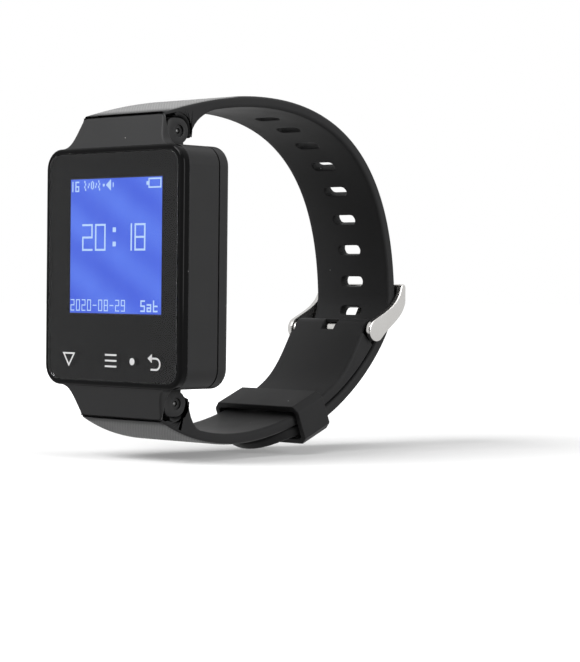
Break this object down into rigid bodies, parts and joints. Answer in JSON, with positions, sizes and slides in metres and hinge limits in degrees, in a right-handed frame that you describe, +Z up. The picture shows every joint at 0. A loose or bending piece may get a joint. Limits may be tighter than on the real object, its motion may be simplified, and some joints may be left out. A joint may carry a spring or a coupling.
{
  "type": "wrist pager",
  "caption": "Wrist pager: upright rectangular receiver with a colour display and touch keys, on a closed rubber watch band with a steel pin buckle and a keeper loop.",
  "frame": {"origin": "middle of the back cover's flat face", "axes": "+X across the case, to the right as the display is read; -Y is where the display faces; +Z up the case; the band closes behind the case, towards +Y"},
  "size_m": [0.039, 0.0747, 0.0718],
  "materials": {
    "smoked_glass": "polished, dark behind",
    "gloss_black": "polished black moulding",
    "satin_black": "fine satin moulding",
    "band_rubber": "matt silicone rubber",
    "polished_steel": "polished stainless steel",
    "bar_steel": "turned stainless steel",
    "contact_gold": "gold plated",
    "display_glass": "lit liquid crystal cell",
    "white_guide": "diffusing sheet stack",
    "black_tray": "moulded tray",
    "board_laminate": "solder mask over glass laminate",
    "chip_epoxy": "moulded epoxy",
    "flex_film": "polyimide film",
    "can_steel": "drawn steel can",
    "pouch_foil": "laminated pouch foil",
    "foam": "closed cell foam",
    "adhesive": "double-sided tape",
    "lead_wire": "silicone insulated wire",
    "magnet": "nickel plated magnet",
    "nylon": "natural nylon",
    "clear_acrylic": "clear acrylic"
  },
  "bodies": {
    "case": {"front_lens": "smoked_glass", "front_bezel": "gloss_black", "mid_case": "satin_black", "case_gasket": "foam", "back_cover": "satin_black", "case_screws": "bar_steel", "charge_contacts": "contact_gold", "strap_long": "band_rubber", "upper_bar_tube": "bar_steel", "upper_bar_spring": "bar_steel", "lens_tape": "adhesive", "lcd_cell": "display_glass", "lcd_backlight": "white_guide", "lcd_tray": "black_tray", "lcd_flex": "flex_film", "touch_sensor": "flex_film", "status_lamp": "clear_acrylic", "light_pipe": "clear_acrylic", "main_board": "board_laminate", "radio_module": "can_steel", "controller_chip": "chip_epoxy", "clock_crystal": "can_steel", "battery_connector": "nylon", "sounder": "chip_epoxy", "antenna_strip": "contact_gold", "battery_tape": "adhesive", "battery_cell": "pouch_foil", "battery_foam": "foam", "battery_leads": "lead_wire", "motor_can": "can_steel", "motor_cradle": "foam", "contact_pins": "contact_gold", "charge_magnets": "magnet"},
    "motor_rotor": {"motor_weight": "bar_steel"},
    "lower_strap": {"strap_short": "band_rubber", "lower_bar_tube": "bar_steel", "lower_bar_spring": "bar_steel", "buckle_bar_tube": "bar_steel", "buckle_bar_spring": "bar_steel"},
    "keeper": {"keeper_loop": "band_rubber"},
    "buckle": {"buckle_frame": "polished_steel"},
    "tongue": {"buckle_tongue": "polished_steel"},
    "upper_tip_left": {"upper_bar_tip_left": "bar_steel"},
    "upper_tip_right": {"upper_bar_tip_right": "bar_steel"},
    "lower_tip_left": {"lower_bar_tip_left": "bar_steel"},
    "lower_tip_right": {"lower_bar_tip_right": "bar_steel"},
    "buckle_tip_left": {"buckle_bar_tip_left": "bar_steel"},
    "buckle_tip_right": {"buckle_bar_tip_right": "bar_steel"}
  },
  "joints": [
    {"name": "lower_strap_pivot", "type": "hinge", "parent": "case", "child": "lower_strap", "pos_m": [0, -0.0059, -0.026], "axis": [1, 0, 0], "range_deg": [-2.5, 8], "stiffness_Nm_per_rad": 0.3, "deforming": ["strap_long"]},
    {"name": "keeper_slide", "type": "hinge", "parent": "lower_strap", "child": "keeper", "pos_m": [0, 0.01105, 0.02068], "axis": [1, 0, 0], "range_deg": [-2.5, 7.5]},
    {"name": "buckle_frame_pivot", "type": "hinge", "parent": "lower_strap", "child": "buckle", "pos_m": [0, 0.0516, -0.01235], "axis": [1, 0, 0], "range_deg": [-2.5, 0]},
    {"name": "tongue_pivot", "type": "hinge", "parent": "buckle", "child": "tongue", "pos_m": [0, 0.0516, -0.01235], "axis": [1, 0, 0], "range_deg": [-2.5, 0]},
    {"name": "motor_spin", "type": "hinge", "parent": "case", "child": "motor_rotor", "pos_m": [-0.0078, -0.00495, -0.0141], "axis": [1, 0, 0], "continuous": true},
    {"name": "upper_tip_left_slide", "type": "slide", "parent": "case", "child": "upper_tip_left", "axis": [1, 0, 0], "range_m": [0, 0.0018], "stiffness_N_per_m": 150, "springref_m": -0.003, "deforming": ["upper_bar_spring"]},
    {"name": "upper_tip_right_slide", "type": "slide", "parent": "case", "child": "upper_tip_right", "axis": [-1, 0, 0], "range_m": [0, 0.0018], "stiffness_N_per_m": 150, "springref_m": -0.003, "deforming": ["upper_bar_spring"]},
    {"name": "lower_tip_left_slide", "type": "slide", "parent": "lower_strap", "child": "lower_tip_left", "axis": [1, 0, 0], "range_m": [0, 0.0018], "stiffness_N_per_m": 150, "springref_m": -0.003, "deforming": ["lower_bar_spring"]},
    {"name": "lower_tip_right_slide", "type": "slide", "parent": "lower_strap", "child": "lower_tip_right", "axis": [-1, 0, 0], "range_m": [0, 0.0018], "stiffness_N_per_m": 150, "springref_m": -0.003, "deforming": ["lower_bar_spring"]},
    {"name": "buckle_tip_left_slide", "type": "slide", "parent": "lower_strap", "child": "buckle_tip_left", "axis": [1, 0, 0], "range_m": [0, 0.0013], "stiffness_N_per_m": 150, "springref_m": -0.003, "deforming": ["buckle_bar_spring"]},
    {"name": "buckle_tip_right_slide", "type": "slide", "parent": "lower_strap", "child": "buckle_tip_right", "axis": [-1, 0, 0], "range_m": [0, 0.0013], "stiffness_N_per_m": 150, "springref_m": -0.003, "deforming": ["buckle_bar_spring"]}
  ]
}
